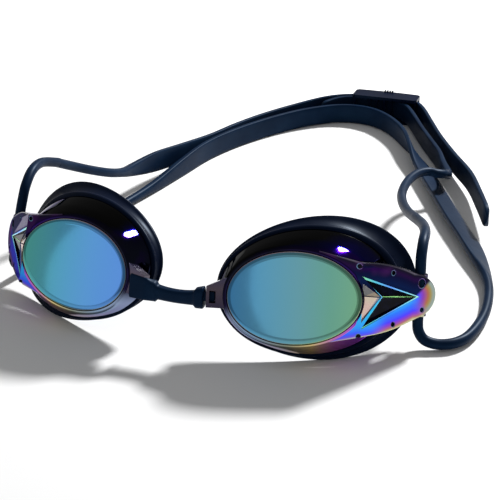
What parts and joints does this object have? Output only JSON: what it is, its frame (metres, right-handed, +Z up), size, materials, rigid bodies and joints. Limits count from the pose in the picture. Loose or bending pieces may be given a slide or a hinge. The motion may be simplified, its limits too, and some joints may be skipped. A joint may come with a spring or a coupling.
{
  "type": "swim goggles",
  "caption": "Racing swim goggles with mirrored oval lenses, soft face seals, a plug-in nose bridge and a split silicone head strap with a rear clip.",
  "frame": {"origin": "on the surface that the goggles rest on, under the middle of the box that the goggles and their spread strap fill", "axes": "+Z up; the lenses face -Y and the strap's loop runs back along +Y; +X is the wearer's left"},
  "size_m": [0.1659, 0.2394, 0.0383],
  "materials": {
    "shell": "very glossy dark plastic with an iridescent mirror coating",
    "lens": "mirror coating that shifts from green to blue",
    "seal": "satin navy silicone",
    "bridge": "satin navy silicone",
    "strap": "satin navy silicone",
    "clip": "satin moulded navy plastic"
  },
  "bodies": {
    "root": {"nose_bridge": "bridge", "lower_strap": "strap", "upper_cord_left": "strap", "upper_cord_right": "strap"},
    "left_cup": {"left_cup": "shell", "left_lens": "lens", "left_gasket": "seal"},
    "right_cup": {"right_cup": "shell", "right_lens": "lens", "right_gasket": "seal"},
    "upper_strap": {"upper_band_left": "strap", "upper_band_right": "strap"},
    "clip": {"rear_clip": "clip"}
  },
  "joints": [
    {"name": "left_cup_flex", "type": "hinge", "parent": "root", "child": "left_cup", "pos_m": [0.00305, -0.1175, 0.01937], "axis": [0, 0, 1], "range_deg": [-10, 15], "stiffness_Nm_per_rad": 0.02, "deforming": ["nose_bridge", "lower_strap", "upper_cord_left"]},
    {"name": "right_cup_flex", "type": "hinge", "parent": "root", "child": "right_cup", "pos_m": [-0.01775, -0.1175, 0.01937], "axis": [0, 0, -1], "range_deg": [-10, 15], "stiffness_Nm_per_rad": 0.02, "deforming": ["nose_bridge", "lower_strap", "upper_cord_right"]},
    {"name": "upper_strap_swing", "type": "hinge", "parent": "root", "child": "upper_strap", "pos_m": [-0.07835, -0.0556, 0.03117], "axis": [0.9984, 0.0378, -0.0416], "range_deg": [0, 35], "deforming": ["upper_cord_left", "upper_cord_right"]},
    {"name": "clip_slide", "type": "slide", "parent": "upper_strap", "child": "clip", "axis": [-1, 0, 0], "range_m": [0, 0.003], "deforming": ["upper_band_left", "upper_band_right"]}
  ]
}
